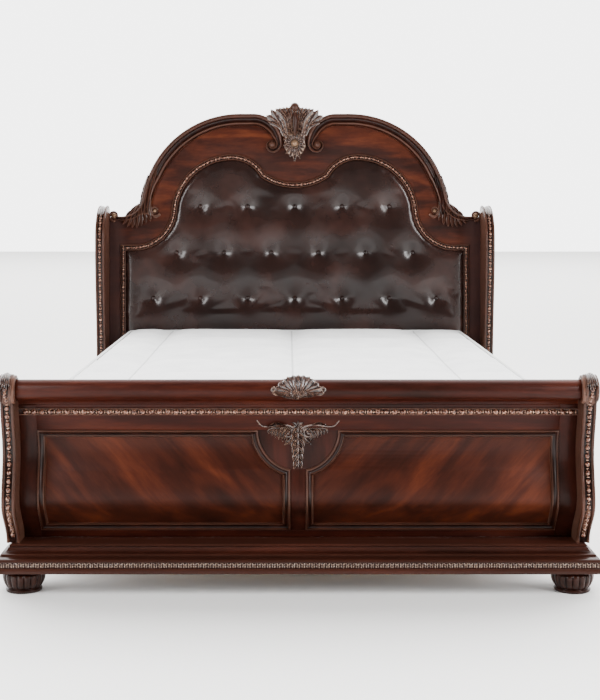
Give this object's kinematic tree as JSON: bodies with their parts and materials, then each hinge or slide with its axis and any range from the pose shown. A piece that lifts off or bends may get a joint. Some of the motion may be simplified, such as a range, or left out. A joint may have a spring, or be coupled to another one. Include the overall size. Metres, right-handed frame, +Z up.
{
  "type": "sleigh bed",
  "caption": "Traditional sleigh bed with an arched, tufted headboard between curved posts, a low scrolled footboard on bun feet, and a slat deck carrying a mattress.",
  "frame": {"origin": "on the floor, under the middle of the overall length and width", "axes": "+Z up, +Y from the footboard towards the headboard, +X to the right as seen from the foot"},
  "size_m": [1.86, 2.328, 1.6665],
  "materials": {
    "cherry_wood": "satin dark cherry lacquer",
    "veneer": "satin lacquer over figured veneer",
    "carved_wood": "carved and antiqued with a pale wax in the hollows",
    "bead_wood": "turned beads, antiqued",
    "back_wood": "stained sheet",
    "pine": "planed, unfinished",
    "pad_leather": "glossy dark brown",
    "zinc_steel": "zinc plated",
    "insert_brass": "turned",
    "black_plastic": "moulded",
    "quilt": "white quilted knit"
  },
  "bodies": {
    "bed": {"headboard_post_left": "cherry_wood", "headboard_post_right": "cherry_wood", "headboard_arch_panel": "veneer", "headboard_backboard": "back_wood", "headboard_bottom_rail": "cherry_wood", "headboard_leg_left": "cherry_wood", "headboard_leg_right": "cherry_wood", "headboard_bead_frame": "bead_wood", "headboard_pad": "pad_leather", "headboard_buttons": "pad_leather", "swan_neck_left": "cherry_wood", "swan_neck_right": "cherry_wood", "headboard_crest": "carved_wood", "headboard_post_beads_left": "bead_wood", "headboard_post_beads_right": "bead_wood", "headboard_glides": "black_plastic", "footboard_post_left": "cherry_wood", "footboard_post_right": "cherry_wood", "footboard_roll": "cherry_wood", "footboard_cove": "cherry_wood", "footboard_upper_rail": "cherry_wood", "footboard_lower_rail": "cherry_wood", "footboard_stile_left": "cherry_wood", "footboard_stile_right": "cherry_wood", "footboard_centre_stile": "cherry_wood", "footboard_field_left": "veneer", "footboard_field_right": "veneer", "footboard_moulding_left": "cherry_wood", "footboard_moulding_right": "cherry_wood", "footboard_bead_strip": "bead_wood", "footboard_post_beads_left": "bead_wood", "footboard_post_beads_right": "bead_wood", "roll_crest": "carved_wood", "footboard_applique": "carved_wood", "footboard_backboard": "back_wood", "plinth_upper": "cherry_wood", "plinth_lower": "cherry_wood", "bun_foot_left": "cherry_wood", "bun_foot_right": "cherry_wood", "footboard_leg_left": "cherry_wood", "footboard_leg_right": "cherry_wood", "side_rail_left": "cherry_wood", "side_rail_right": "cherry_wood", "slat_cleat_left": "pine", "slat_cleat_right": "pine", "rail_hook_plates": "zinc_steel", "post_slot_plates": "zinc_steel", "slats": "pine", "slat_screws": "zinc_steel", "centre_beam": "pine", "beam_hangers": "pine", "support_leg_1": "pine", "support_leg_2": "pine", "support_leg_3": "pine", "leveller_inserts": "insert_brass"},
    "mattress": {"mattress": "quilt"},
    "leveller_1": {"leveller_1": "black_plastic"},
    "leveller_2": {"leveller_2": "black_plastic"},
    "leveller_3": {"leveller_3": "black_plastic"}
  },
  "joints": [
    {"name": "mattress_lift", "type": "slide", "parent": "bed", "child": "mattress", "axis": [0, 0, 1], "range_m": [0, 0.35]},
    {"name": "leveller_1_screw", "type": "slide", "parent": "bed", "child": "leveller_1", "axis": [0, 0, 1], "range_m": [0, 0.012]},
    {"name": "leveller_2_screw", "type": "slide", "parent": "bed", "child": "leveller_2", "axis": [0, 0, 1], "range_m": [0, 0.012]},
    {"name": "leveller_3_screw", "type": "slide", "parent": "bed", "child": "leveller_3", "axis": [0, 0, 1], "range_m": [0, 0.012]}
  ]
}
